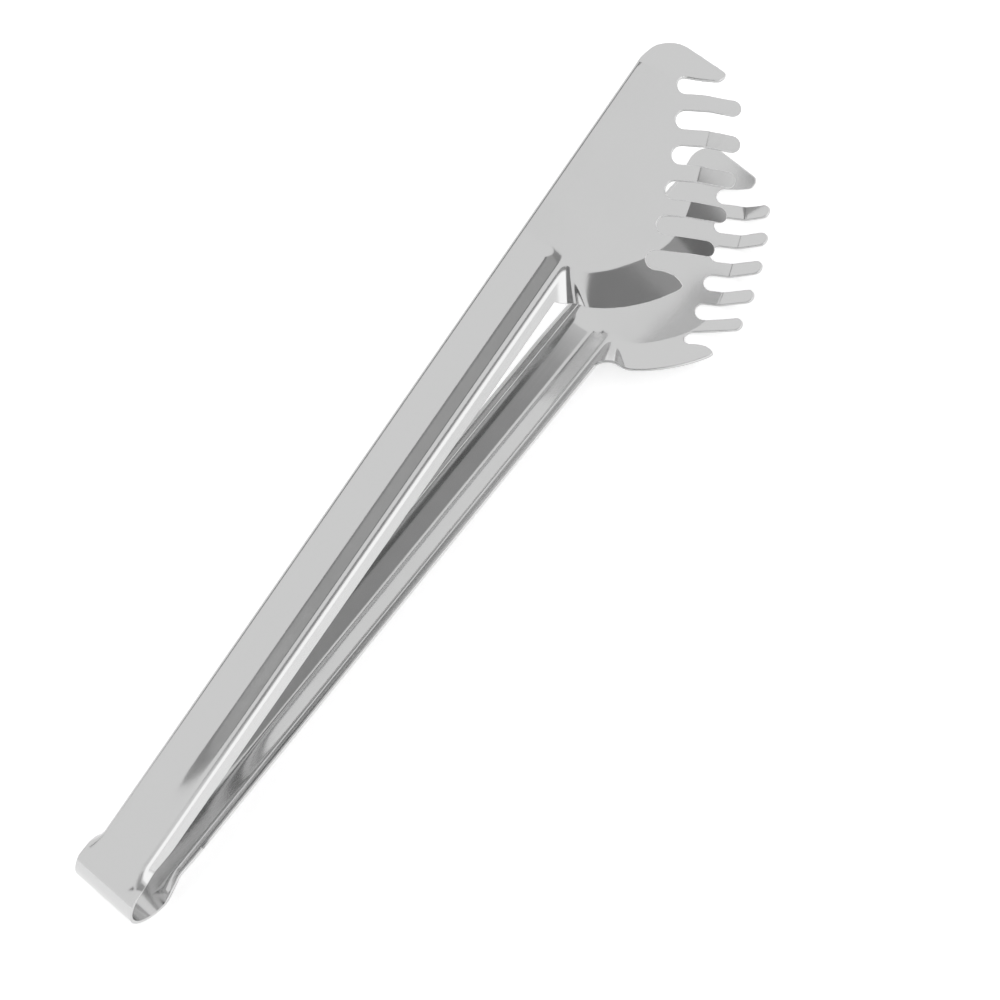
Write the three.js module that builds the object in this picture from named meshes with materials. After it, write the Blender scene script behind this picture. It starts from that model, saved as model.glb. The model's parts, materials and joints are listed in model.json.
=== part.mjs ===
// Spaghetti tongs: one stainless strip, bent double at a spring bow, with a comb at each end.
// Millimetres and degrees. X runs from the bow to the combs, +Z is up, the teeth point to -Y.
// The lower arm lies flat on Z = 0, and the origin is the middle of the footprint.

import * as THREE from 'three';

// Strip
const SHEET = 0.9;
const ARM_WIDTH = 16.8; // over the flanges
const ARM_LENGTH = 243.5; // bow axis to the end of the nose, before the nose is bent in

// Spring bow
const BOW_RADIUS = 10.7; // outside
const OPENING = 13; // angle between the two arms at rest
const BOW_BACK_OVERHANG = 2; // the flat bow stands out past the edges of the arm
const BOW_FRONT_OVERHANG = 0.6;
const BOW_SPLIT = 0.3; // clearance between the two halves of the bow
const BOW_STEPS = 8;

// Flanges, the two long edges of the arm: the back one folded in sharply, the front one rolled part way
const BACK_FLANGE = { depth: 5, angle: 87, radius: 1.1 }; // outside radius
const FRONT_FLANGE = { depth: 3.3, angle: 55, radius: 2.8 };
const RUN_OUT_RADIUS = 9; // the bends open out to this radius where they run out at the bow
const FLANGE_START = -4.5; // where the edges begin to turn in, from the bow axis
const FLANGE_FULL = 5.5;
const GROWTH_START = 2; // where the flanges begin to grow to their full width
const GROWTH_FULL = 13;
const HANDLE_START = 13.4; // where the bow ends and the handle begins, from the bow axis

// Channel pressed inwards along the arm: a shallow V that ends at the front flange
const CHANNEL_MARGIN = 2; // from the back edge
const CHANNEL_BACK_SLOPE = 9.5;
const CHANNEL_FRONT_SLOPE = 17;
const CHANNEL_ROUND = 0.1; // how far the bottom of the V is rounded up
const RIM_ROUND = 0.06; // how far its rims are rounded down
const CHANNEL_START = 18; // from the bow axis
const CHANNEL_FULL = 50;
const CHANNEL_SETBACK = 58.3; // end of the channel, from the end of the nose
const CHANNEL_END_WALL = 4.5;

// Comb. A setback is measured from the end of the nose, an offset from the arm's front edge.
const COMB_LENGTH = 71.5; // end of the nose to the handle
const FINGER_COUNT = 5;
const FINGER_PITCH = 8.5;
const FINGER_WIDTH = 3.9;
const FINGER_LENGTH = 16.3; // second finger, from the root of the second slot
const FINGER_LEAN = 27.5; // the fingers lean towards the nose
const ROW_SLANT = 31.4; // the row of slots slants out from the arm, away from the nose
const SLOT_SETBACK = 18.3; // root of the second slot, which reaches furthest in
const SLOT_OFFSET = -0.3;
const SLOT_ARC = 133; // the slot roots lie on this arc
const TIP_ARC = 80; // the finger tips lie on this arc, furthest out at the second finger
const TIP_TURN = 75; // a finger's round tip turns this far on each side, up to a short flat
const NOSE_CORNER = 6.5;
const HOOK_SETBACK = 1; // tip of the hook
const HOOK_OFFSET = 2.5;
const HOOK_TIP_WIDTH = 2.8; // the tip is blunt
const TOOTH_ROUND = 5.5; // how far the hook and the last tooth follow their slots before they turn to the tip
const LIP_LEAD = 2; // the front flange begins to open out into the lip this far past the handle
const LIP_ARC = 39;
const LIP_TURN = 60; // setback of the corner that the lip's border curves round
const POINT_STEP = 5.94; // point of the last tooth, from the middle of the last slot
const POINT_LENGTH = 9.21; // and from the root of that slot

// The comb's border is bent in along four lines that run into each other
const COMB_RADIUS = 3;
const NOSE_BEND = { setback: 11, offset: -8.8, heading: -6, angle: 33 };
const FINGER_BEND = { setback: 26.1, offset: 11, heading: 67.4, angle: 30 };
const LIP_BEND = { setback: 55.5, offset: 7, heading: 132.4, angle: 27 };
const HEEL_BEND = { setback: 59, offset: 0, heading: 180, angle: 27 };
const CORNER_BLEND = 4.5; // widths over which the lines run together
const NOSE_BLEND = 2;
const LIP_BLEND = 0.8;
const HEEL_BLEND = 1.5;
const BACK_BLEND = 0.5;

const STEEL = { color: 0xc9cacb, metalness: 1, roughness: 0.22 };

const { degToRad, smoothstep, lerp, clamp } = THREE.MathUtils;
const NUDGE = 1e-3; // step for slopes

// Straight part of a flange, past its bend
function flangeStraight({ depth, angle, radius }) {
  return (depth - radius * (1 - Math.cos(degToRad(angle)))) / Math.sin(degToRad(angle));
}

// Width along the flat strip that a flange takes, from the start of its bend
function flangeWidth(flange) {
  return flange.radius * degToRad(flange.angle) + flangeStraight(flange);
}

// How far a flange reaches out past the start of its bend, once bent
function flangeOverhang(flange) {
  const turn = degToRad(flange.angle);
  return flange.radius * Math.sin(turn) + flangeStraight(flange) * Math.cos(turn);
}

const BACK_FOLD = BACK_FLANGE.radius;
const FRONT_FOLD = ARM_WIDTH - flangeOverhang(FRONT_FLANGE);
const BACK_WIDTH = flangeWidth(BACK_FLANGE);
const FRONT_WIDTH = flangeWidth(FRONT_FLANGE);
const NOSE_WIDTH = BACK_FOLD; // the back flange gets lower along the comb and runs out at the nose
const COMB_START = ARM_LENGTH - COMB_LENGTH;
const CHANNEL_END = ARM_LENGTH - CHANNEL_SETBACK;
const NOSE_FOLD = ARM_LENGTH - NOSE_BEND.setback;

// Outline of the flat strip: how far the back and front edges reach past their fold lines
function backReach(s) {
  const along = clamp((s - COMB_START) / (NOSE_FOLD - COMB_START), 0, 1);
  const arm = lerp(BOW_BACK_OVERHANG + BACK_FOLD, BACK_WIDTH, smoothstep(s, GROWTH_START, GROWTH_FULL));
  return Math.min(arm, lerp(BACK_WIDTH, NOSE_WIDTH, along));
}

function frontReach(s) {
  const bow = BOW_FRONT_OVERHANG + ARM_WIDTH - FRONT_FOLD;
  return lerp(bow, FRONT_WIDTH, smoothstep(s, GROWTH_START, GROWTH_FULL));
}

// A bend line as seen from a point: distance past the line, turn and radius
function bendSide(s, q, { setback, offset, heading, angle }) {
  const turn = degToRad(heading);
  const along = s - (ARM_LENGTH - setback);
  const across = q - (ARM_WIDTH + offset);
  const distance = along * Math.cos(turn) + across * Math.sin(turn);
  return { distance, angle: degToRad(angle), radius: COMB_RADIUS };
}

// The larger of two values, with the step between them rounded over a width
function softMax(a, b, width) {
  return Math.max(a, b) + width * Math.log1p(Math.exp(-Math.abs(a - b) / width));
}

// Runs two bend sides into each other: sign 1 keeps the further one, sign -1 the nearer one
function blend(a, b, width, sign) {
  const share = 1 / (1 + Math.exp(-sign * (a.distance - b.distance) / width));
  return {
    distance: sign * softMax(sign * a.distance, sign * b.distance, width),
    angle: lerp(b.angle, a.angle, share),
    radius: lerp(b.radius, a.radius, share),
  };
}

function flangeSide(s, distance, { angle, radius }) {
  const turned = smoothstep(s, FLANGE_START, FLANGE_FULL);
  return { distance, angle: degToRad(angle) * turned, radius: lerp(RUN_OUT_RADIUS, radius, turned) };
}

function bendAt(s, q) {
  const back = flangeSide(s, BACK_FOLD - q, BACK_FLANGE);
  const front = flangeSide(s, q - FRONT_FOLD, FRONT_FLANGE);
  const lip = blend(bendSide(s, q, LIP_BEND), bendSide(s, q, HEEL_BEND), HEEL_BLEND, 1);
  const teeth = blend(bendSide(s, q, FINGER_BEND), lip, CORNER_BLEND, 1);
  const side = blend(front, teeth, LIP_BLEND, -1);
  const nose = blend(side, bendSide(s, q, NOSE_BEND), NOSE_BLEND, 1);
  return blend(nose, back, BACK_BLEND, 1);
}

function channelDepth(s, q) {
  const back = (q - CHANNEL_MARGIN) * Math.tan(degToRad(CHANNEL_BACK_SLOPE));
  const front = (FRONT_FOLD - q) * Math.tan(degToRad(CHANNEL_FRONT_SLOPE));
  const valley = -softMax(-back, -front, CHANNEL_ROUND);
  const rise = smoothstep(s, CHANNEL_START, CHANNEL_FULL);
  const end = smoothstep(CHANNEL_END - s, 0, CHANNEL_END_WALL);
  return softMax(valley, 0, RIM_ROUND) * rise * end;
}

// Outer face of the formed strip at length s and width q of the flat strip, from the bow axis
function outerFace(s, q) {
  const bend = bendAt(s, q);
  let along = s;
  let across = q;
  let depth = channelDepth(s, q);
  if (bend.distance > 0) {
    const slopeS = bendAt(s + NUDGE, q).distance - bendAt(s - NUDGE, q).distance;
    const slopeQ = bendAt(s, q + NUDGE).distance - bendAt(s, q - NUDGE).distance;
    const outward = new THREE.Vector2(slopeS, slopeQ).normalize();
    const turn = Math.min(bend.distance / bend.radius, bend.angle);
    const straight = bend.distance - bend.radius * turn;
    const shift = bend.radius * Math.sin(turn) + straight * Math.cos(turn) - bend.distance;
    along += shift * outward.x;
    across += shift * outward.y;
    depth += bend.radius * (1 - Math.cos(turn)) + straight * Math.sin(turn);
  }
  const y = ARM_WIDTH / 2 - across;
  if (along >= 0) return new THREE.Vector3(along, y, depth - BOW_RADIUS);
  const turn = -along / BOW_RADIUS;
  const radius = BOW_RADIUS - depth;
  return new THREE.Vector3(-radius * Math.sin(turn), y, -radius * Math.cos(turn));
}

function innerFace(s, q) {
  const lengthwise = outerFace(s + NUDGE, q).sub(outerFace(s - NUDGE, q));
  const crosswise = outerFace(s, q - NUDGE).sub(outerFace(s, q + NUDGE));
  return lengthwise.cross(crosswise).normalize().multiplyScalar(SHEET).add(outerFace(s, q));
}

// Closed solid of the strip over a grid of points: rows of [s, q], all of one length.
// mirror is 1 for the lower arm and -1 for the upper one.
function sheet(rows, mirror) {
  const width = rows[0].length;
  const last = rows.length - 1;
  const count = rows.length * width;
  const points = [outerFace, innerFace].flatMap((face) => rows.flat().map(([s, q]) => face(s, q)));
  const outer = (i, j) => i * width + j;
  const inner = (i, j) => count + i * width + j;
  const faces = [];
  const quad = (a, b, c, d) => faces.push([a, b, c], [a, c, d]);
  for (let i = 0; i < last; i++) {
    for (let j = 0; j < width - 1; j++) {
      quad(outer(i, j), outer(i + 1, j), outer(i + 1, j + 1), outer(i, j + 1));
      quad(inner(i, j), inner(i, j + 1), inner(i + 1, j + 1), inner(i + 1, j));
    }
    quad(outer(i, 0), inner(i, 0), inner(i + 1, 0), outer(i + 1, 0));
    quad(outer(i, width - 1), outer(i + 1, width - 1), inner(i + 1, width - 1), inner(i, width - 1));
  }
  for (let j = 0; j < width - 1; j++) {
    quad(outer(0, j), outer(0, j + 1), inner(0, j + 1), inner(0, j));
    quad(outer(last, j), inner(last, j), inner(last, j + 1), outer(last, j + 1));
  }
  const geometry = new THREE.BufferGeometry().setFromPoints(points);
  geometry.setIndex(faces.flat());
  const facesOut = new THREE.Matrix4().makeScale(1, 1, mirror);
  geometry.applyMatrix4(facesOut);
  if (mirror * outwardSign(rows) < 0) geometry.setIndex(faces.flatMap(([a, b, c]) => [a, c, b]));
  geometry.computeVertexNormals();
  return geometry;
}

// Which way round the rows and columns run on the flat strip
function outwardSign(rows) {
  const [a, b, c] = [rows[0][0], rows[1][0], rows[0][rows[0].length - 1]];
  return Math.sign((b[0] - a[0]) * (c[1] - a[1]) - (b[1] - a[1]) * (c[0] - a[0]));
}

// Columns across the arm: shares of a flange from its edge to its fold, and stops across the web
const TURN_STEPS = 4;

function flangeShares({ angle, radius }, width) {
  const turn = radius * degToRad(angle) / width;
  return [1, ...Array.from({ length: TURN_STEPS }, (_, i) => turn * (1 - i / TURN_STEPS))];
}

const BACK_SHARES = flangeShares(BACK_FLANGE, BACK_WIDTH);
const FRONT_SHARES = flangeShares(FRONT_FLANGE, FRONT_WIDTH);
const WEB_STEPS = 10;
const WEB_STEP = (FRONT_FOLD - CHANNEL_MARGIN) / WEB_STEPS;
const WEB_STOPS = [BACK_FOLD, ...steps(CHANNEL_MARGIN, FRONT_FOLD, WEB_STEPS)];

function steps(from, to, count) {
  return Array.from({ length: count + 1 }, (_, i) => lerp(from, to, i / count));
}

function armRow(s) {
  const back = BACK_SHARES.map((share) => BACK_FOLD - share * backReach(s));
  const front = FRONT_SHARES.map((share) => FRONT_FOLD + share * frontReach(s)).reverse();
  return [...back, ...WEB_STOPS, ...front].map((q) => [s, q]);
}

// The comb on the flat strip: the fingers run along reach, and the slots follow each other along row
const LEAN = degToRad(FINGER_LEAN);
const SLANT = degToRad(ROW_SLANT);
const REACH = new THREE.Vector2(Math.sin(LEAN), Math.cos(LEAN));
const ROW = new THREE.Vector2(-Math.cos(SLANT), Math.sin(SLANT));
const SLOT_WIDTH = FINGER_PITCH - FINGER_WIDTH;
const SLOT_COUNT = FINGER_COUNT + 1;
const SECOND_SLOT = new THREE.Vector2(ARM_LENGTH - SLOT_SETBACK, ARM_WIDTH + SLOT_OFFSET);

// Point of the comb, by distance along the row from the second slot and reach past its root
function combPoint(row, reach) {
  return SECOND_SLOT.clone().addScaledVector(ROW, row).addScaledVector(REACH, reach);
}

const arcDrop = (offset, radius) => radius - Math.sqrt(radius * radius - offset * offset);
const slotRow = (slot) => (slot - 1) * FINGER_PITCH;
const rootReach = (slot) => -arcDrop(slotRow(slot), SLOT_ARC);
const fingerRow = (finger) => (finger - 0.5) * FINGER_PITCH;

function tipReach(finger) {
  return FINGER_LENGTH - arcDrop((finger - 1) * FINGER_PITCH, TIP_ARC);
}

// Reach of the flat ends of the round slot roots, where the fingers begin
const baseReach = (slot) => rootReach(slot) + SLOT_WIDTH / 2;
const ROOT_STEPS = 4;

// Round end of a slot, from the nose side to the bow side
function slotRoot(slot) {
  return steps(0, Math.PI, ROOT_STEPS).map((turn) => combPoint(
    slotRow(slot) - SLOT_WIDTH / 2 * Math.cos(turn),
    baseReach(slot) - SLOT_WIDTH / 2 * Math.sin(turn),
  ));
}

// Middle of the line where a finger begins
function fingerBase(finger) {
  return combPoint(fingerRow(finger), (baseReach(finger) + baseReach(finger + 1)) / 2);
}

// Border between the plate and the lip: along the bend, from the handle to the last slot
const LAST_SLOT = SLOT_COUNT - 1;
const LIP_ROOT = slotRoot(LAST_SLOT)[ROOT_STEPS];
const LIP_TIP = combPoint(slotRow(LAST_SLOT) + POINT_STEP, rootReach(LAST_SLOT) + POINT_LENGTH);
const LIP_STEPS = 12;

function lipBorder(share) {
  const start = new THREE.Vector2(COMB_START, FRONT_FOLD);
  const turn = new THREE.Vector2(ARM_LENGTH - LIP_TURN, FRONT_FOLD);
  return new THREE.QuadraticBezierCurve(start, turn, LIP_ROOT).getPoint(share).toArray();
}

// Free edge of the lip: the flange's edge, then an arc to the point of the last tooth
function lipEdge(share) {
  const start = new THREE.Vector2(COMB_START + LIP_LEAD, FRONT_FOLD + FRONT_WIDTH);
  const chord = LIP_TIP.clone().sub(start);
  const half = chord.length() / 2;
  const outward = new THREE.Vector2(-chord.y, chord.x).normalize();
  const offset = (share - 0.5) * 2 * half;
  const bulge = Math.sqrt(LIP_ARC ** 2 - offset ** 2) - Math.sqrt(LIP_ARC ** 2 - half ** 2);
  const point = start.clone().addScaledVector(chord, share).addScaledVector(outward, bulge);
  return [point.x, point.y];
}

// Side of an end tooth: along its slot, then round to the tip
function toothSide(root, tip) {
  const turn = root.clone().addScaledVector(REACH, TOOTH_ROUND);
  const curve = new THREE.QuadraticBezierCurve(root, turn, tip);
  return (stop) => curve.getPoint(stop).toArray();
}

const FLANGE_STOPS = [0, ...FRONT_SHARES.toReversed()];

function lipRows() {
  const between = (from, to) => FLANGE_STOPS.map((stop) => from.map((start, i) => lerp(start, to[i], stop)));
  const first = between(lipBorder(0), [COMB_START, FRONT_FOLD + FRONT_WIDTH]);
  const rest = steps(0, 1, LIP_STEPS).slice(1, -1).map((share) => between(lipBorder(share), lipEdge(share)));
  return [first, ...rest, FLANGE_STOPS.map(toothSide(LIP_ROOT, LIP_TIP))];
}

// Hook: from the bend across the nose to the slanting end, with a round corner at the back
const HOOK_STOPS = [0, 0.2, 0.6, 1];
const HOOK_REACH = ARM_WIDTH + HOOK_OFFSET;

function hookRows(rootRow) {
  const backEdge = rootRow[0][1];
  const [rootS, rootQ] = rootRow[rootRow.length - 1];
  const corner = new THREE.Vector2(ARM_LENGTH - NOSE_CORNER, backEdge + NOSE_CORNER);
  const rows = rootRow.slice(0, -1).map(([s, q]) => {
    const across = lerp(backEdge, HOOK_REACH, (q - backEdge) / (rootQ - backEdge));
    const inCorner = clamp(corner.y - across, 0, NOSE_CORNER);
    const slant = HOOK_SETBACK * clamp((across - corner.y) / (HOOK_REACH - corner.y), 0, 1);
    const end = corner.x + Math.sqrt(NOSE_CORNER ** 2 - inCorner ** 2) - slant;
    return HOOK_STOPS.map((stop) => [lerp(s, end, stop), lerp(q, across, stop)]);
  });
  const tip = new THREE.Vector2(ARM_LENGTH - HOOK_SETBACK - HOOK_TIP_WIDTH, HOOK_REACH);
  const slotSide = toothSide(new THREE.Vector2(rootS, rootQ), tip);
  return [...rows, HOOK_STOPS.map(slotSide)];
}

// Finger with a round tip
const FINGER_STEPS = 5;
const TIP_STEPS = 4;

function fingerRows(finger) {
  const tip = tipReach(finger);
  const bases = [baseReach(finger), baseReach(finger + 1)];
  const half = FINGER_WIDTH / 2;
  const straight = steps(0, 1, FINGER_STEPS).map((share) => ({ share, reach: tip - half, half }));
  const round = steps(0, 1, TIP_STEPS).slice(1).map((share) => {
    const turn = share * degToRad(TIP_TURN);
    return { share: 1, reach: tip - half + half * Math.sin(turn), half: half * Math.cos(turn) };
  });
  return [...straight, ...round].map(({ share, reach, half: side }) => [1, 0, -1].map((edge) => {
    const base = lerp(bases[0], bases[1], (edge + 1) / 2);
    const point = combPoint(fingerRow(finger) + edge * side, lerp(base, reach, share));
    return [point.x, point.y];
  }));
}

// Flat plate of the comb: rows run from the back edge to the slots and to the lip,
// and meet the slots along the fingers
const PLATE_MARGIN = 3; // strip of plate behind the slot roots
const LIP_BACK = ARM_LENGTH - LIP_BEND.setback; // where the row to the last slot meets the back edge

function plateRow(root, turn, border) {
  const back = BACK_SHARES.map((share) => [root, BACK_FOLD - share * backReach(root)]);
  const span = WEB_STOPS[WEB_STOPS.length - 2] - BACK_FOLD;
  const web = WEB_STOPS.slice(0, -1).map((stop) => {
    const share = (stop - BACK_FOLD) / span;
    return [lerp(root, turn[0], share), lerp(BACK_FOLD, turn[1], share)];
  });
  return [...back, ...web, border];
}

function plateRows() {
  const lip = steps(0, 1, LIP_STEPS).map((share) => {
    const inset = lerp(WEB_STEP, PLATE_MARGIN + SLOT_WIDTH / 2, share);
    const border = lipBorder(share);
    const turn = [border[0] - inset * Math.sin(LEAN * share), border[1] - inset * Math.cos(LEAN * share)];
    return plateRow(lerp(COMB_START, LIP_BACK, share), turn, border);
  });
  const slots = Array.from({ length: SLOT_COUNT }, (_, slot) => {
    const root = slotRoot(slot).reverse();
    return slot > 0 ? [...root, fingerBase(slot - 1)] : root;
  });
  const points = slots.reverse().flat();
  const along = (point) => point.clone().sub(SECOND_SLOT).dot(ROW);
  const [first, last] = [along(points[0]), along(points[points.length - 1])];
  const comb = points.slice(1).map((point) => {
    const row = along(point);
    const turn = combPoint(row, -arcDrop(row, SLOT_ARC) - PLATE_MARGIN);
    const share = (row - first) / (last - first);
    return plateRow(lerp(LIP_BACK, NOSE_FOLD, share), [turn.x, turn.y], [point.x, point.y]);
  });
  return [...lip, ...comb];
}

const ARC_END = -BOW_RADIUS * degToRad(90 - OPENING / 2) + BOW_SPLIT / 2;
const RUN_OUT_STEPS = 6;
const RAMP_STEPS = 6;
const HANDLE_STEPS = 3;

function pieceRows() {
  const bow = [...steps(ARC_END, 0, BOW_STEPS), ...steps(0, HANDLE_START, RUN_OUT_STEPS).slice(1)];
  const ramp = steps(CHANNEL_START, CHANNEL_FULL, RAMP_STEPS);
  const handle = [HANDLE_START, ...ramp, ...steps(CHANNEL_FULL, COMB_START, HANDLE_STEPS).slice(1)];
  const plate = plateRows();
  const pieces = {
    bow_half: bow.map(armRow),
    handle: handle.map(armRow),
    comb_plate: plate,
    hook_tooth: hookRows(plate[plate.length - 1]),
    pointed_tooth: lipRows(),
  };
  for (let finger = 0; finger < FINGER_COUNT; finger++) pieces[`finger_${finger + 1}`] = fingerRows(finger);
  return pieces;
}

const tongs = new THREE.Group();
const ARMS = [
  { name: 'lower', mirror: 1, turn: 0 },
  { name: 'upper', mirror: -1, turn: -degToRad(OPENING) },
];
for (const { name, mirror, turn } of ARMS) {
  const arm = new THREE.Group();
  arm.position.z = BOW_RADIUS;
  arm.rotation.y = turn;
  for (const [piece, rows] of Object.entries(pieceRows())) {
    const mesh = new THREE.Mesh(sheet(rows, mirror), new THREE.MeshStandardMaterial(STEEL));
    mesh.name = `${name}_${piece}`;
    arm.add(mesh);
  }
  tongs.add(arm);
}

// The origin is the middle of the footprint
const extent = new THREE.Box3().setFromObject(tongs, true);
const middle = extent.getCenter(new THREE.Vector3());
tongs.position.set(-middle.x, -middle.y, -extent.min.z);

export default tongs;
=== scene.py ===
# %% [markdown]
# Spaghetti tongs
#
# These tongs are one strip of stainless steel. A press cuts the flat blank, with a comb of fingers at
# each end, turns its long edges in, pushes a channel along each arm and bends the comb's border. Then
# the strip is folded double, and the round bow at the fold is the spring that opens the arms.
#
# The lesson follows the factory. It cuts a flat blank, gives it the thickness of the sheet, and then
# moves every point to where the press puts it. So one smooth sheet runs from the bow to the fingers,
# and each bend has its true radius.

# %% Load the measured frame
import json
import math

import bmesh
import bpy
import numpy as np
from mathutils import Matrix, Vector


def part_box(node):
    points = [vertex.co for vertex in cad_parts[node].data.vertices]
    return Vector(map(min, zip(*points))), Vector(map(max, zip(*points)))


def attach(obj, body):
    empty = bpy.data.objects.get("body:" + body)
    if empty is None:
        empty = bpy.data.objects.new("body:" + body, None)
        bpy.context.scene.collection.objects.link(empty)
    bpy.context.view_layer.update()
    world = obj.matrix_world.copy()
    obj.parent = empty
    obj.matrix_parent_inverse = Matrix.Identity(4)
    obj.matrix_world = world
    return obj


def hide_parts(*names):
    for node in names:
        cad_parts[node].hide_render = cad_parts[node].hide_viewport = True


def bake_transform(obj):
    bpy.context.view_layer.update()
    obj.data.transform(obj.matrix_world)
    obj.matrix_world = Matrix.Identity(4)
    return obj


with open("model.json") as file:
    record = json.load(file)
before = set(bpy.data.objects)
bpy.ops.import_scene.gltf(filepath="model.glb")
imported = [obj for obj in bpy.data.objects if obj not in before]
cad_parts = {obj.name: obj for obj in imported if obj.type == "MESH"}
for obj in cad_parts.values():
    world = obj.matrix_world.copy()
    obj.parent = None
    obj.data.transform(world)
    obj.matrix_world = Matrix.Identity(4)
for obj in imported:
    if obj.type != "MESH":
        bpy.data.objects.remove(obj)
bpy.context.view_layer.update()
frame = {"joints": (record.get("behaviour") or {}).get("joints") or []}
MM = 0.001

# %% [markdown]
# Where things are
#
# All sizes of the tongs are in millimetres and start from the axis of the spring bow, which is also the
# hinge of the squeeze. The frame says where that axis is, so the sheet always lands on the measured
# parts. The camera's place is written from the same axis, so it moves along with the tongs.

# %% Bow axis
ARM_WIDTH = 16.8
BOW_RADIUS = 10.7
BOW_BACK_OVERHANG = 2.0

squeeze_joint = frame["joints"][0]
bow_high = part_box("lower_bow_half")[1]
BACK_EDGE = bow_high[1] - BOW_BACK_OVERHANG * MM
BOW_AXIS = Vector((squeeze_joint["pos_m"][0], BACK_EDGE - ARM_WIDTH / 2 * MM, BOW_RADIUS * MM))
print("bow axis at", [round(value / MM, 2) for value in BOW_AXIS], "mm")

# %% Camera
CAMERA_FROM_BOW = Vector((54.80, -173.69, 481.18))
AIM_FROM_BOW = Vector((130.47, -9.98, -BOW_RADIUS))
CAMERA_ROLL = math.radians(-27.48)
FOCAL_LENGTH = 72.0
SENSOR = 36.0

camera_data = bpy.data.cameras.new("camera")
camera_data.lens = FOCAL_LENGTH
camera_data.sensor_width = SENSOR
camera = bpy.data.objects.new("camera", camera_data)
bpy.context.scene.collection.objects.link(camera)
bpy.context.scene.camera = camera
view = (AIM_FROM_BOW - CAMERA_FROM_BOW).to_track_quat("-Z", "Y").to_matrix()
camera.matrix_world = (
    Matrix.Translation(BOW_AXIS + CAMERA_FROM_BOW * MM)
    @ (view @ Matrix.Rotation(CAMERA_ROLL, 3, "Z")).to_4x4()
)
print("camera is", round((AIM_FROM_BOW - CAMERA_FROM_BOW).length), "mm from the tongs")

# %% [markdown]
# The bends
#
# A point of the flat blank has a length s, measured from the bow axis, and a width q, measured from the
# arm's back edge. A bend line divides the blank: past the line the sheet rolls through an arc, and then
# runs straight again. The two flanges, the nose, the fingers, the lip and the lip's heel each have such
# a line. Where two lines meet, a press tool has a rounded corner, so here the distances to the two lines
# are run together smoothly. At the bow the flanges open out to nothing, so there their angle falls and
# their radius grows. That is quicker than a subdivision cage and gives exact arcs.

# %% Flanges
BACK_DEPTH, BACK_TURN, BACK_RADIUS = 5.0, math.radians(87), 1.1
FRONT_DEPTH, FRONT_TURN, FRONT_RADIUS = 3.3, math.radians(55), 2.8


def flange_straight(depth, turn, radius):
    """Straight part of a flange of this depth, past its bend."""
    return (depth - radius * (1 - math.cos(turn))) / math.sin(turn)


FRONT_STRAIGHT = flange_straight(FRONT_DEPTH, FRONT_TURN, FRONT_RADIUS)
FRONT_WIDTH = FRONT_RADIUS * FRONT_TURN + FRONT_STRAIGHT
BACK_WIDTH = BACK_RADIUS * BACK_TURN + flange_straight(BACK_DEPTH, BACK_TURN, BACK_RADIUS)
BACK_FOLD = BACK_RADIUS
FRONT_FOLD = ARM_WIDTH - FRONT_RADIUS * math.sin(FRONT_TURN) - FRONT_STRAIGHT * math.cos(FRONT_TURN)
STRIP_BACK = BACK_FOLD - BACK_WIDTH
STRIP_FRONT = FRONT_FOLD + FRONT_WIDTH
print("flanges take", round(BACK_WIDTH, 2), "and", round(FRONT_WIDTH, 2), "mm of strip")

# %% Bends of the comb
ARM_LENGTH = 243.5
COMB_BEND_RADIUS = 3.0
NOSE_SETBACK = 11.0


def comb_bend(setback, offset, heading, angle):
    """Bend line through a point set back from the nose end and offset from the arm's front edge.

    The heading is the way to the bent side, in degrees from the arm's length towards its front.
    """
    return ARM_LENGTH - setback, ARM_WIDTH + offset, math.radians(heading), math.radians(angle)


def bend_line(s, q, line):
    """Distance past a bend line, with the bend's angle and radius."""
    line_s, line_q, heading, angle = line
    distance = (s - line_s) * math.cos(heading) + (q - line_q) * math.sin(heading)
    return distance, np.full_like(s, angle), np.full_like(s, COMB_BEND_RADIUS)


NOSE_BEND = comb_bend(setback=NOSE_SETBACK, offset=-8.8, heading=-6.0, angle=33.0)
FINGER_BEND = comb_bend(setback=26.1, offset=11.0, heading=67.4, angle=30.0)
LIP_BEND = comb_bend(setback=55.5, offset=7.0, heading=132.4, angle=27.0)
HEEL_BEND = comb_bend(setback=59.0, offset=0.0, heading=180.0, angle=27.0)
comb_bends = (NOSE_BEND, FINGER_BEND, LIP_BEND, HEEL_BEND)
print("comb bends of", [round(math.degrees(bend[-1])) for bend in comb_bends], "degrees")

# %% All bends as one
# The flanges start to turn inside the bow and have their full angle a little way along the arm.
RUN_OUT_RADIUS = 9.0
FLANGE_START = -4.5
FLANGE_FULL = 5.5
# How widely two bends run into each other where they meet.
CORNER_BLEND = 4.5
NOSE_BLEND = 2.0
LIP_BLEND = 0.8
HEEL_BLEND = 1.5
BACK_BLEND = 0.5


def smoothstep(value, low, high):
    share = np.clip((value - low) / (high - low), 0.0, 1.0)
    return share * share * (3.0 - 2.0 * share)


def mix(a, b, share):
    return a + (b - a) * share


def run_together(a, b, width, sign):
    """Run two bends into each other: sign 1 keeps the further one, sign -1 the nearer one."""
    share = (1.0 + np.tanh(sign * (a[0] - b[0]) / width / 2)) / 2
    distance = sign * width * np.logaddexp(sign * a[0] / width, sign * b[0] / width)
    return distance, mix(b[1], a[1], share), mix(b[2], a[2], share)


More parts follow.
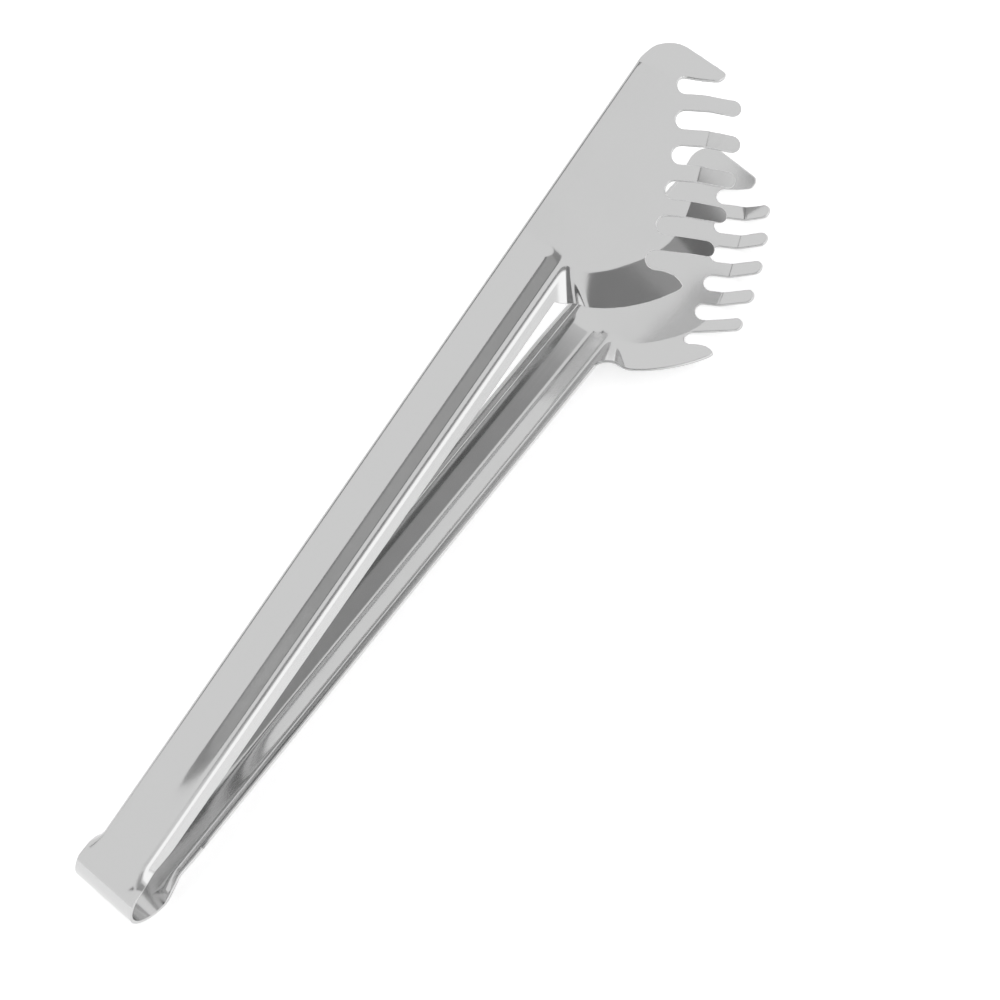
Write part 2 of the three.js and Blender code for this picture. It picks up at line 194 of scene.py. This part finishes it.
def bend_at(s, q):
    """Distance past the bend that shapes each point, with that bend's angle and radius."""
    turned = smoothstep(s, FLANGE_START, FLANGE_FULL)
    back = (BACK_FOLD - q, BACK_TURN * turned, mix(RUN_OUT_RADIUS, BACK_RADIUS, turned))
    front = (q - FRONT_FOLD, FRONT_TURN * turned, mix(RUN_OUT_RADIUS, FRONT_RADIUS, turned))
    lip = run_together(bend_line(s, q, LIP_BEND), bend_line(s, q, HEEL_BEND), HEEL_BLEND, 1)
    teeth = run_together(bend_line(s, q, FINGER_BEND), lip, CORNER_BLEND, 1)
    side = run_together(front, teeth, LIP_BLEND, -1)
    nose = run_together(side, bend_line(s, q, NOSE_BEND), NOSE_BLEND, 1)
    return run_together(nose, back, BACK_BLEND, 1)


MID_ARM = np.array([ARM_LENGTH / 2])
MID_STRIP = np.array([ARM_WIDTH / 2])
print("mid-arm is", round(-bend_at(MID_ARM, MID_STRIP)[0][0], 1), "mm from the nearest bend")

# %% [markdown]
# The channel
#
# A shallow V is pressed inwards along each arm to stiffen it. Its long side slopes gently from the back
# edge, its short side climbs to the front flange, and the bottom and the rims are rounded by the press
# tool. It fades in past the bow and ends in a short wall at the comb. In a polished sheet the short side
# shows as a dark band with a thin light line along its rim. A knife cut and a sculpted groove would
# do too, but a depth that is added to each point keeps the surface smooth.

# %% Channel
# The V starts at a margin from the back edge and ends at the front fold, along two slopes.
CHANNEL_MARGIN = 2.0
CHANNEL_BACK_SLOPE = math.tan(math.radians(9.5))
CHANNEL_FRONT_SLOPE = math.tan(math.radians(17))
CHANNEL_ROUND = 0.16
RIM_ROUND = 0.06
# Along the arm it deepens from its start to its full depth, and ends inside the comb.
CHANNEL_START = 18.0
CHANNEL_FULL = 50.0
CHANNEL_SETBACK = 58.3
CHANNEL_END_WALL = 4.5
CHANNEL_END = ARM_LENGTH - CHANNEL_SETBACK


def soft_max(a, b, width):
    """The larger of two values, with the step between them rounded over a width."""
    return width * np.logaddexp(a / width, b / width)


def channel_depth(s, q):
    back = (q - CHANNEL_MARGIN) * CHANNEL_BACK_SLOPE
    front = (FRONT_FOLD - q) * CHANNEL_FRONT_SLOPE
    valley = -soft_max(-back, -front, CHANNEL_ROUND)
    rise = smoothstep(s, CHANNEL_START, CHANNEL_FULL)
    end = smoothstep(CHANNEL_END - s, 0.0, CHANNEL_END_WALL)
    return soft_max(valley, 0.0, RIM_ROUND) * rise * end


across_web = np.linspace(BACK_FOLD, FRONT_FOLD)
print("channel is", round(channel_depth(MID_ARM, across_web).max(), 2), "mm deep")

# %% Formed face
NUDGE = 1e-3


def outer_face(s, q):
    """Outer face of the formed lower arm, measured from the bow axis."""
    distance, angle, radius = bend_at(s, q)
    slope_s = bend_at(s + NUDGE, q)[0] - bend_at(s - NUDGE, q)[0]
    slope_q = bend_at(s, q + NUDGE)[0] - bend_at(s, q - NUDGE)[0]
    steepness = np.hypot(slope_s, slope_q)
    past = np.maximum(distance, 0.0)
    turn = np.minimum(past / radius, angle)
    straight = past - radius * turn
    shift = radius * np.sin(turn) + straight * np.cos(turn) - past
    along = s + shift * slope_s / steepness
    across = q + shift * slope_q / steepness
    depth = channel_depth(s, q) + radius * (1 - np.cos(turn)) + straight * np.sin(turn)
    bow_turn = np.maximum(-along, 0.0) / BOW_RADIUS
    bow_radius = BOW_RADIUS - depth
    x = np.maximum(along, 0.0) - bow_radius * np.sin(bow_turn)
    return np.stack([x, ARM_WIDTH / 2 - across, -bow_radius * np.cos(bow_turn)], axis=1)


def face_normal(s, q):
    """Unit normal of the outer face, pointing into the sheet."""
    lengthwise = outer_face(s + NUDGE, q) - outer_face(s - NUDGE, q)
    crosswise = outer_face(s, q - NUDGE) - outer_face(s, q + NUDGE)
    normal = np.cross(lengthwise, crosswise)
    return normal / np.linalg.norm(normal, axis=1, keepdims=True)


middle_rise = outer_face(MID_ARM, MID_STRIP)[0][2] + BOW_RADIUS
print("the arm's middle lies", round(middle_rise, 2), "mm inside its back")

# %% [markdown]
# The blank's outline
#
# The outline is drawn on the flat strip. The fingers lean towards the nose and follow each other along a
# row, so their points are written as a step along the row and a reach along the finger. Slot roots and
# finger tips are half circles. The blunt hook at the nose and the point at the other end of the comb
# follow their slots first and then curve to a tip. A picture could be traced instead, but worked-out
# points keep all fingers alike and follow when a size is changed.

# %% Comb points
FINGER_COUNT = 5
FINGER_PITCH = 8.5
FINGER_WIDTH = 3.9
FINGER_LENGTH = 16.3
FINGER_LEAN = math.radians(27.5)
ROW_SLANT = math.radians(31.4)
# The row is placed by the second slot from the nose. Slot roots and finger tips lie on wide arcs.
SLOT_SETBACK = 18.3
SLOT_INSET = 0.3
SLOT_ARC = 133.0
TIP_ARC = 80.0
ROUND_STEPS = 10
SECOND_SLOT = Vector((ARM_LENGTH - SLOT_SETBACK, ARM_WIDTH - SLOT_INSET))
SLOT_HALF = (FINGER_PITCH - FINGER_WIDTH) / 2
FINGER_HALF = FINGER_WIDTH / 2
REACH = Vector((math.sin(FINGER_LEAN), math.cos(FINGER_LEAN)))
ROW = Vector((-math.cos(ROW_SLANT), math.sin(ROW_SLANT)))


def arc_drop(offset, radius):
    """How far an arc has fallen back at this offset from its highest point."""
    return radius - math.sqrt(radius * radius - offset * offset)


def comb_point(row, reach):
    return SECOND_SLOT + ROW * row + REACH * reach


def slot_row(slot):
    return (slot - 1) * FINGER_PITCH


def root_reach(slot):
    return -arc_drop(slot_row(slot), SLOT_ARC)


def half_circle(row, reach, radius, side):
    """Half circle from the nose side to the bow side: side -1 is a slot root, side 1 a finger tip."""
    turns = [math.pi * step / ROUND_STEPS for step in range(ROUND_STEPS + 1)]
    return [
        comb_point(row - radius * math.cos(turn), reach + side * radius * math.sin(turn))
        for turn in turns
    ]


def slot_root(slot):
    return half_circle(slot_row(slot), root_reach(slot) + SLOT_HALF, SLOT_HALF, -1)


def finger_tip(finger):
    tip = FINGER_LENGTH - arc_drop((finger - 1) * FINGER_PITCH, TIP_ARC)
    return half_circle((finger - 0.5) * FINGER_PITCH, tip - FINGER_HALF, FINGER_HALF, 1)


print(FINGER_COUNT, "fingers", FINGER_WIDTH, "mm wide between slots of", round(2 * SLOT_HALF, 2), "mm")

# %% Curved sides
CURVE_STEPS = 14


def curve(start, turn, end):
    """Quadratic curve between two points, drawn towards a third."""
    shares = [step / CURVE_STEPS for step in range(CURVE_STEPS + 1)]
    return [start * (1 - t) ** 2 + turn * 2 * t * (1 - t) + end * t * t for t in shares]


def arc_between(start, end, radius):
    """Arc from start to end that bulges to the left of the way from end to start."""
    chord = end - start
    half = chord.length / 2
    outward = Vector((chord.y, -chord.x)).normalized()
    base = math.sqrt(radius ** 2 - half ** 2)
    offsets = [half * (2 * step / CURVE_STEPS - 1) for step in range(CURVE_STEPS + 1)]
    middle = (start + end) / 2
    along = chord.normalized()
    return [middle + along * x + outward * (math.sqrt(radius ** 2 - x * x) - base) for x in offsets]


def quarter_circle(centre, radius):
    """Rounded corner from the back edge to the nose end."""
    turns = [math.pi / 2 * step / CURVE_STEPS for step in range(CURVE_STEPS + 1)]
    return [centre + radius * Vector((math.sin(turn), -math.cos(turn))) for turn in turns]


print("each curved side has", CURVE_STEPS, "steps")

# %% Arm outline
COMB_LENGTH = 71.5
NOSE_CORNER = 6.5
HOOK_SETBACK = 1.0
HOOK_OFFSET = 2.5
HOOK_BLUNT = 2.8
# The two end teeth follow their slots for a while before they curve to their tips.
TOOTH_ROUND = 5.5
# The pointed tooth ends past the last slot, and the lip runs back from it in one arc.
POINT_STEP = 5.94
POINT_LENGTH = 9.21
LIP_LEAD = 2.0
LIP_ARC = 39.0
# The bow's blank takes over at the seam. Blanks have some spare length, which is cut off there.
SEAM = 13.4
SPARE = 3.0
COMB_START = ARM_LENGTH - COMB_LENGTH
HOOK_TIP = Vector((ARM_LENGTH - HOOK_SETBACK, ARM_WIDTH + HOOK_OFFSET))
HOOK_HEEL = HOOK_TIP - Vector((HOOK_BLUNT, 0.0))


def arm_outline():
    """Outline of one arm's blank, and the tips on it that get rounded."""
    first_root = slot_root(0)
    last_root = slot_root(FINGER_COUNT)
    point = comb_point(slot_row(FINGER_COUNT) + POINT_STEP, root_reach(FINGER_COUNT) + POINT_LENGTH)
    lip_start = Vector((COMB_START + LIP_LEAD, STRIP_FRONT))
    outline = [
        Vector((SEAM - SPARE, STRIP_BACK)),
        Vector((COMB_START, STRIP_BACK)),
        Vector((ARM_LENGTH - NOSE_SETBACK, 0.0)),
    ]
    outline += quarter_circle(Vector((ARM_LENGTH - NOSE_CORNER, NOSE_CORNER)), NOSE_CORNER)
    outline.append(HOOK_TIP)
    outline += reversed(curve(first_root[0], first_root[0] + REACH * TOOTH_ROUND, HOOK_HEEL))
    for finger in range(FINGER_COUNT):
        outline += slot_root(finger)[1 if finger == 0 else 0:]
        outline += finger_tip(finger)
    outline += last_root
    outline += curve(last_root[-1], last_root[-1] + REACH * TOOTH_ROUND, point)[1:]
    outline += arc_between(point, lip_start, LIP_ARC)[1:]
    outline.append(Vector((SEAM - SPARE, STRIP_FRONT)))
    return outline, [HOOK_TIP, HOOK_HEEL, point]


arm_edge, arm_tips = arm_outline()
print("arm outline:", len(arm_edge), "points,", len(arm_tips), "of them tips")

# %% [markdown]
# Cutting the blank
#
# The outline becomes one face. Its sharp tips are rounded with a vertex bevel, and an inset leaves a
# narrow border all round, which becomes the edge that tumbling has taken the sharpness off. Straight
# cuts then divide the blank into small squares, closest where the sheet will bend, because a face can
# only bend where it has points. Last, the blank is extruded to the thickness of the sheet. A grid with
# a boolean would do as well, but the cuts keep the outline exact.

# %% Cut a blank
SHEET = 0.9
EDGE_ROUND = 0.15
TIP_ROUND = 1.35
TIP_SEGMENTS = 4
MERGE = 0.02
ON_LINE = 1e-4


def slice_blank(blank, spot, normal, clear_outer=False):
    """Cut a blank straight through at a plane, and take the outer side away if asked."""
    bmesh.ops.bisect_plane(
        blank, geom=blank.verts[:] + blank.edges[:] + blank.faces[:], dist=ON_LINE,
        plane_co=spot, plane_no=normal, clear_outer=clear_outer,
    )


def cut_blank(outline, tips, cuts_s, cuts_q, seams):
    """Flat solid blank; z is the depth in the sheet, and seams are the ends that stay open."""
    blank = bmesh.new()
    blank.faces.new([blank.verts.new((point.x, point.y, 0.0)) for point in outline])
    corners = [v for v in blank.verts if any((v.co.xy - tip).length < ON_LINE for tip in tips)]
    if corners:
        bmesh.ops.bevel(
            blank, geom=corners, affect="VERTICES", offset=TIP_ROUND, segments=TIP_SEGMENTS,
            profile=0.5, material=-1,
        )
    bmesh.ops.remove_doubles(blank, verts=blank.verts[:], dist=MERGE)
    bmesh.ops.inset_region(
        blank, faces=blank.faces[:], thickness=EDGE_ROUND, use_boundary=True, use_even_offset=True,
    )
    for seam, side in seams:
        slice_blank(blank, (seam, 0, 0), (side, 0, 0), clear_outer=True)
    for cut in cuts_s:
        slice_blank(blank, (cut, 0, 0), (1, 0, 0))
    for cut in cuts_q:
        slice_blank(blank, (0, cut, 0), (0, 1, 0))
    bmesh.ops.remove_doubles(blank, verts=blank.verts[:], dist=MERGE)
    thicken(blank, seams)
    return blank


def thicken(blank, seams):
    """Sink the border by the edge's rounding and extrude the blank to the sheet's thickness."""
    on_seam = [
        {vert for vert in blank.verts if abs(vert.co.x - seam) < MERGE} for seam, side in seams
    ]
    for edge in blank.edges:
        if edge.is_boundary and not any(set(edge.verts) <= seam for seam in on_seam):
            for vert in edge.verts:
                vert.co.z = EDGE_ROUND
    grown = bmesh.ops.extrude_face_region(blank, geom=blank.faces[:], use_keep_orig=True)
    for item in grown["geom"]:
        if isinstance(item, bmesh.types.BMVert):
            item.co.z = SHEET - item.co.z
    bmesh.ops.recalc_face_normals(blank, faces=blank.faces[:])


print("sheet", SHEET, "mm thick, its edges rounded by", EDGE_ROUND, "mm")

# %% Arm blank
BACK_ARC = BACK_RADIUS * BACK_TURN
FRONT_ARC = FRONT_RADIUS * FRONT_TURN
RIM_HALF = 0.6
FINGER_REACH = 27.0
# Widest steps between cuts, small where the sheet bends and wide along the straight arm.
FOLD_STEP = 0.24
WEB_STEP = 0.5
RIM_STEP = 0.12
COMB_STEP = 0.4
RAMP_STEP = 1.6
HANDLE_STEP = 8.0


def stops(*runs):
    """Cut positions: each run is a start, an end and the widest step between them."""
    cuts = set()
    for start, end, step in runs:
        count = max(1, math.ceil((end - start) / step - ON_LINE))
        cuts.update(round(mix(start, end, i / count), 4) for i in range(count + 1))
    return sorted(cuts)


STRIP_CUTS = stops(
    (BACK_FOLD - BACK_ARC, BACK_FOLD, FOLD_STEP),
    (BACK_FOLD, FRONT_FOLD - RIM_HALF, WEB_STEP),
    (FRONT_FOLD - RIM_HALF, FRONT_FOLD + RIM_HALF, RIM_STEP),
    (FRONT_FOLD + RIM_HALF, FRONT_FOLD + FRONT_ARC, FOLD_STEP),
)
COMB_CUTS = stops((FRONT_FOLD + FRONT_ARC, ARM_WIDTH + FINGER_REACH, COMB_STEP))[1:]
LENGTH_CUTS = stops(
    (CHANNEL_START, CHANNEL_FULL, RAMP_STEP),
    (CHANNEL_FULL, COMB_START - SPARE, HANDLE_STEP),
    (COMB_START - SPARE, ARM_LENGTH, COMB_STEP),
)
arm_blank = cut_blank(arm_edge, arm_tips, LENGTH_CUTS, STRIP_CUTS + COMB_CUTS, [(SEAM, -1)])
print("arm blank:", len(arm_blank.faces), "faces")

# %% [markdown]
# The blank of the bow
# The bow is flat across and a little wider than the arms, and its edges run into the flanges. Its blank
# is cut with the crown of the bow in the middle, so that one piece of sheet goes round it. The arms could
# be drawn up to the crown instead, but then each would keep its own half of the bow.

# %% Bow blank
BOW_FRONT_OVERHANG = 0.6
OPENING = math.radians(13)
# Between these lengths along the arm the bow's edges grow into the flanges.
GROWTH_START = 2.0
GROWTH_FULL = 13.0
BOW_STEP = 0.5
EDGE_STEP = 0.75
CROWN = BOW_RADIUS * (math.pi / 2 - OPENING / 2)
BOW_HALF = CROWN + SEAM


def edge_reach(way, bow, arm):
    """Strip past a fold: the bow's edge at the crown, the arm's flange further on."""
    return mix(bow, arm, smoothstep(abs(way) - CROWN, GROWTH_START, GROWTH_FULL))


def bow_outline():
    ways = stops((-BOW_HALF - SPARE, BOW_HALF + SPARE, EDGE_STEP))
    bow_back = BOW_BACK_OVERHANG + BACK_FOLD
    bow_front = BOW_FRONT_OVERHANG + ARM_WIDTH - FRONT_FOLD
    back = [Vector((way, BACK_FOLD - edge_reach(way, bow_back, BACK_WIDTH))) for way in ways]
    front = [Vector((way, FRONT_FOLD + edge_reach(way, bow_front, FRONT_WIDTH))) for way in ways]
    return back + front[::-1]


bow_blank = cut_blank(
    bow_outline(), [], stops((-BOW_HALF, BOW_HALF, BOW_STEP)), STRIP_CUTS,
    [(-BOW_HALF, -1), (BOW_HALF, 1)],
)
print("bow blank:", len(bow_blank.faces), "faces")

# %% [markdown]
# Pressing the blank
#
# Each point of the blank now moves to its place on the formed sheet: its length and width give the place
# on the outer face, and its depth in the sheet is laid off along the face's normal. The upper arm is the
# mirror image of the lower one, turned open about the bow axis. The normals come from the same formula,
# so reflections run without facets, and the narrow border keeps its own, which makes it a crisp edge.
# The flat place of each point is kept as a UV map, so that polishing lines can follow the strip. A
# curve modifier could roll the strip too, but it knows one bend at a time, and here several meet.

# %% Places in the frame
FACE, EDGE = 0, 1


def place(points, side):
    """Turn points about the bow axis to their arm: side 1 is the lower arm, side -1 the upper arm."""
    x, y, z = points.T
    swing = OPENING if side < 0 else 0.0
    z = z * side
    return np.stack(
        [x * math.cos(swing) - z * math.sin(swing), y, x * math.sin(swing) + z * math.cos(swing)], axis=1
    )


def place_on_arms(points, side):
    return np.where(side[:, None] > 0, place(points, 1), place(points, -1))


def mark_faces(shape):
    """Give a flat blank its UV map, its two materials and a sharp line between them."""
    strip_map = shape.loops.layers.uv.new("strip")
    for face in shape.faces:
        depths = {round(loop.vert.co.z, 4) for loop in face.loops}
        face.material_index = FACE if len(depths) == 1 else EDGE
        face.smooth = True
        for loop in face.loops:
            loop[strip_map].uv = loop.vert.co.xy * MM
    for edge in shape.edges:
        edge.smooth = len({face.material_index for face in edge.link_faces}) == 1


print("arms open by", round(math.degrees(OPENING)), "degrees")

# %% Press
def press(blank, name, side_of):
    """Form a blank into a piece. side_of gives each point's arm, 1 lower or -1 upper, and its length."""
    length, q, depth = np.array([vert.co for vert in blank.verts], dtype=float).T
    side, s = side_of(length)
    normal = face_normal(s, q)
    points = place_on_arms(outer_face(s, q) + normal * depth[:, None], side)
    facing = place_on_arms(normal, side)
    shape = blank.copy()
    mark_faces(shape)
    for vert, point in zip(shape.verts, points):
        vert.co = BOW_AXIS + Vector(point) * MM
    shape.normal_update()
    bmesh.ops.recalc_face_normals(shape, faces=shape.faces[:])
    mesh = bpy.data.meshes.new(name)
    shape.to_mesh(mesh)
    shape.free()
    sheet_side = np.where(depth > SHEET / 2, 1.0, -1.0)[:, None]
    loop_verts = np.zeros(len(mesh.loops), dtype=np.int32)
    mesh.loops.foreach_get("vertex_index", loop_verts)
    normals = (facing * sheet_side)[loop_verts]
    for polygon in mesh.polygons:
        if polygon.material_index == EDGE:
            normals[polygon.loop_start:polygon.loop_start + polygon.loop_total] = 0.0
    mesh.normals_split_custom_set(normals.tolist())
    piece = bpy.data.objects.new(name, mesh)
    bpy.context.scene.collection.objects.link(piece)
    print(name, len(mesh.polygons), "faces")
    return piece


def around_bow(way):
    return np.where(way > 0, -1.0, 1.0), np.abs(way) - CROWN


lower_sheet = press(arm_blank, "lower_arm_sheet", lambda s: (np.ones_like(s), s))
upper_sheet = press(arm_blank, "upper_arm_sheet", lambda s: (-np.ones_like(s), s))
spring_bow = press(bow_blank, "spring_bow", around_bow)

# %% [markdown]
# Polished stainless steel
#
# The sheet is plain chromium-nickel stainless steel, polished bright before it was pressed and tumbled
# afterwards. To the eye it is a slightly soft mirror: bands of the studio run along each arm, and faint
# lengthwise polishing lines blur them a little. The sheared edges are duller than the faces. An even
# roughness would look like chrome, so noise along the strip and wider clouds vary it.

# %% Colours and node helper
def linear(code):
    """Linear colour of an sRGB hex code."""
    parts = [int(code[i:i + 2], 16) / 255 for i in (1, 3, 5)]
    return [part / 12.92 if part <= 0.04045 else ((part + 0.055) / 1.055) ** 2.4 for part in parts] + [1.0]


def add_node(material, kind, settings=None, feeds=(), **links):
    """Add a node. Settings go to properties or sockets, feeds to inputs in order, links by name."""
    node = material.node_tree.nodes.new(kind)
    for key, value in (settings or {}).items():
        if hasattr(node, key):
            setattr(node, key, value)
        else:
            node.inputs[key].default_value = value
    for number, socket in enumerate(feeds):
        material.node_tree.links.new(socket, node.inputs[number])
    for key, socket in links.items():
        material.node_tree.links.new(socket, node.inputs[key.replace("_", " ")])
    return node


STEEL_COLOUR = linear("#CACACA")
print("steel colour", [round(part, 3) for part in STEEL_COLOUR])

# %% Polished steel
# Real polishing lines are some hundredths of a millimetre wide. They are drawn coarser, so that they show.
LINE_WIDTH_MM = 0.35
LINE_LENGTH_MM = 30.0
LINE_DEPTH_MM = 0.02
LINE_STRENGTH = 0.05
LINE_DETAIL = 3.0
CLOUD_MM = 14.0
CLOUD_DETAIL = 2.0
WEAR_LOW, WEAR_HIGH = 0.7, 1.3


def polished_steel(name, smoothest, dullest):
    """Stainless steel whose gloss varies between two roughnesses along its polishing lines."""
    material = bpy.data.materials.new(name)
    material.use_nodes = True
    links = material.node_tree.links
    shader = material.node_tree.nodes["Principled BSDF"]
    shader.inputs["Base Color"].default_value = STEEL_COLOUR
    shader.inputs["Metallic"].default_value = 1.0
    strip = add_node(material, "ShaderNodeUVMap", {"uv_map": "strip"})
    lines_scale = (1 / (LINE_LENGTH_MM * MM), 1 / (LINE_WIDTH_MM * MM), 1.0)
    lines_place = add_node(
        material, "ShaderNodeMapping", {"Scale": lines_scale}, Vector=strip.outputs["UV"]
    )
    lines = add_node(
        material, "ShaderNodeTexNoise", {"Scale": 1.0, "Detail": LINE_DETAIL},
        Vector=lines_place.outputs["Vector"],
    )
    coordinates = add_node(material, "ShaderNodeTexCoord")
    clouds = add_node(
        material, "ShaderNodeTexNoise", {"Scale": 1 / (CLOUD_MM * MM), "Detail": CLOUD_DETAIL},
        Vector=coordinates.outputs["Object"],
    )
    wear = add_node(
        material, "ShaderNodeMath", {"operation": "ADD"}, [lines.outputs["Fac"], clouds.outputs["Fac"]]
    )
    gloss = add_node(
        material, "ShaderNodeMapRange",
        {"From Min": WEAR_LOW, "From Max": WEAR_HIGH, "To Min": smoothest, "To Max": dullest},
        Value=wear.outputs["Value"],
    )
    links.new(gloss.outputs["Result"], shader.inputs["Roughness"])
    grain = add_node(
        material, "ShaderNodeBump", {"Strength": LINE_STRENGTH, "Distance": LINE_DEPTH_MM * MM},
        Height=lines.outputs["Fac"],
    )
    links.new(grain.outputs["Normal"], shader.inputs["Normal"])
    return material


# The polished face is a mirror with slightly soft borders between its light and dark bands.
face_steel = polished_steel("polished_stainless_steel", smoothest=0.10, dullest=0.17)
# The sheared and tumbled edge is satin, so it shows as an even, thin light line.
edge_steel = polished_steel("sheared_stainless_edge", smoothest=0.25, dullest=0.38)
for piece in (lower_sheet, upper_sheet, spring_bow):
    piece.data.materials.append(face_steel)
    piece.data.materials.append(edge_steel)
print("materials:", [material.name for material in bpy.data.materials])

# %% [markdown]
# What moves
#
# Each arm rides on its own body. The real bow bends when the arms are squeezed, but here it follows
# neither arm: it stays where it was formed, in the open pose, and stands for the two measured bow halves,
# which are hidden. An armature with weights could make its points follow the two arms.

# %% Ride on the bodies
ARM_NODES = ["handle", "comb_plate", "hook_tooth", "pointed_tooth"]
ARM_NODES += [f"finger_{number}" for number in range(1, FINGER_COUNT + 1)]
for arm, piece in (("lower", lower_sheet), ("upper", upper_sheet)):
    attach(piece, f"{arm}_arm")
    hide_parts(*[f"{arm}_{node}" for node in ARM_NODES])
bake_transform(spring_bow)
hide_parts("lower_bow_half", "upper_bow_half")
print("each arm sheet stands for", len(ARM_NODES), "measured parts, the bow for its two halves")

# %% [markdown]
# The studio
#
# Polished metal shows the room, not its own colour, so the studio is part of the finish. Its sizes are in
# metres. The floor and the room are white, so most of the steel is pale. Behind the tongs a card leans
# over them in two greys, and each surface that leans back shows it as a darker band. A flag in three
# greys hangs above the front, where the bent lip and the fingers show it. A card at the left darkens what
# looks that way, such as the left end of the lip. A soft lamp in front gives the bright line along the
# front folds. The camera doesn't see the cards, so the background stays white. A picture of a studio as
# world light is the common way, but a card can be moved until its band falls where it should.

# %% Paper and card
bpy.context.scene.view_settings.view_transform = "Standard"
PAPER_ROUGHNESS = 0.9


def plain(name, code):
    """Plain matt paper of one colour, which shines back evenly to all sides."""
    material = bpy.data.materials.new(name)
    material.use_nodes = True
    shader = material.node_tree.nodes["Principled BSDF"]
    shader.inputs["Base Color"].default_value = linear(code)
    shader.inputs["Roughness"].default_value = PAPER_ROUGHNESS
    return material


def sheet_of(material, corners):
    """Flat studio sheet through its corners in metres, named for its material."""
    shape = bmesh.new()
    shape.faces.new([shape.verts.new(corner) for corner in corners])
    mesh = bpy.data.meshes.new(material.name)
    shape.to_mesh(mesh)
    shape.free()
    mesh.materials.append(material)
    sheet = bpy.data.objects.new(material.name, mesh)
    bpy.context.scene.collection.objects.link(sheet)
    print(sheet.name, "with", len(corners), "corners")
    return sheet


print("view transform:", bpy.context.scene.view_settings.view_transform)

# %% Floor and room
WHITE = (1.0, 1.0, 1.0, 1.0)
FLOOR = 3.0
FLOOR_GLOW = 0.42
ADD = {"operation": "ADD"}
# White paper that glows a little to the camera and in reflections only, so that it keeps the shadow.
floor_paper = plain("white_floor", "#F0F0F0")
rays = add_node(floor_paper, "ShaderNodeLightPath").outputs
seen = add_node(floor_paper, "ShaderNodeMath", ADD, [rays["Is Camera Ray"], rays["Is Glossy Ray"]])
through = add_node(floor_paper, "ShaderNodeMath", ADD, [seen.outputs["Value"], rays["Is Transmission Ray"]])
glow = add_node(floor_paper, "ShaderNodeMath", {"operation": "MULTIPLY"}, [through.outputs["Value"]])
glow.inputs[1].default_value = FLOOR_GLOW
floor_shader = floor_paper.node_tree.nodes["Principled BSDF"]
floor_shader.inputs["Emission Color"].default_value = WHITE
floor_paper.node_tree.links.new(glow.outputs["Value"], floor_shader.inputs["Emission Strength"])
sheet_of(floor_paper, [(-FLOOR, -FLOOR, 0), (FLOOR, -FLOOR, 0), (FLOOR, FLOOR, 0), (-FLOOR, FLOOR, 0)])

world = bpy.data.worlds.new("white_room")
bpy.context.scene.world = world
world.use_nodes = True
world.node_tree.nodes["Background"].inputs["Color"].default_value = WHITE
world.node_tree.nodes["Background"].inputs["Strength"].default_value = 1.0

# %% Leaning card
CARD_LEFT, HIGH_RIGHT, LOW_RIGHT = -0.53, 0.29, 0.12
CARD_TOP = (0.47, 0.9)
CARD_MIDDLE = (0.68, 0.69)
CARD_FOOT = (0.85, 0.5)


def leaning_card(name, code, right, top, foot):
    """Part of the card behind the tongs; top and foot are its distance back and its height."""
    corners = [(CARD_LEFT, *top), (right, *top), (right, *foot), (CARD_LEFT, *foot)]
    return sheet_of(plain(name, code), corners)


high_card = leaning_card("high_card", "#A9A9A9", HIGH_RIGHT, CARD_TOP, CARD_MIDDLE)
low_card = leaning_card("low_card", "#C2C2C2", LOW_RIGHT, CARD_MIDDLE, CARD_FOOT)

# %% Flag and side card
FLAG_HEIGHT = 0.52
# The back edge slants over the first part and is straight over the others.
FLAG_FRONT, FLAG_BACK, FLAG_BACK_LEFT = -0.45, -0.23, -0.13
FLAG_EDGES = [-0.36, 0.015, 0.16, 0.255]
FLAG_GREYS = ["#BBBBBB", "#7C7C7C", "#949494"]
flags = []
for number, code in enumerate(FLAG_GREYS):
    left, right = FLAG_EDGES[number:number + 2]
    back_left = FLAG_BACK_LEFT if number == 0 else FLAG_BACK
    flags.append(sheet_of(plain(f"flag_{number + 1}", code), [
        (left, FLAG_FRONT, FLAG_HEIGHT), (right, FLAG_FRONT, FLAG_HEIGHT),
        (right, FLAG_BACK, FLAG_HEIGHT), (left, back_left, FLAG_HEIGHT),
    ]))

SIDE_X = -0.9
SIDE_FRONT, SIDE_SLANT, SIDE_BACK = -0.75, -0.15, 0.1
SIDE_FOOT, SIDE_BACK_TOP, SIDE_TOP = 0.1, 0.6, 1.15
side_card = sheet_of(plain("side_card", "#909090"), [
    (SIDE_X, SIDE_FRONT, SIDE_FOOT), (SIDE_X, SIDE_FRONT, SIDE_TOP), (SIDE_X, SIDE_SLANT, SIDE_TOP),
    (SIDE_X, SIDE_BACK, SIDE_BACK_TOP), (SIDE_X, SIDE_BACK, SIDE_FOOT),
])
for card in (high_card, low_card, side_card, *flags):
    card.visible_camera = False

# %% Lamp
LAMP_WIDTH = 1.9
LAMP_HEIGHT = 0.65
# Brightness of the lamp's face, where 1 is the white of the room.
LAMP_LEVEL = 0.55
LAMP_PLACE = (-0.1, -0.9, 0.42)
LAMP_TILT = math.radians(90)
lamp_data = bpy.data.lights.new("front_softbox", "AREA")
lamp_data.shape = "RECTANGLE"
lamp_data.size = LAMP_WIDTH
lamp_data.size_y = LAMP_HEIGHT
lamp_data.energy = LAMP_LEVEL * math.pi * LAMP_WIDTH * LAMP_HEIGHT
lamp = bpy.data.objects.new("front_softbox", lamp_data)
bpy.context.scene.collection.objects.link(lamp)
lamp.location = LAMP_PLACE
lamp.rotation_euler = (LAMP_TILT, 0, 0)
print("lamp", round(lamp_data.energy, 1), "W")
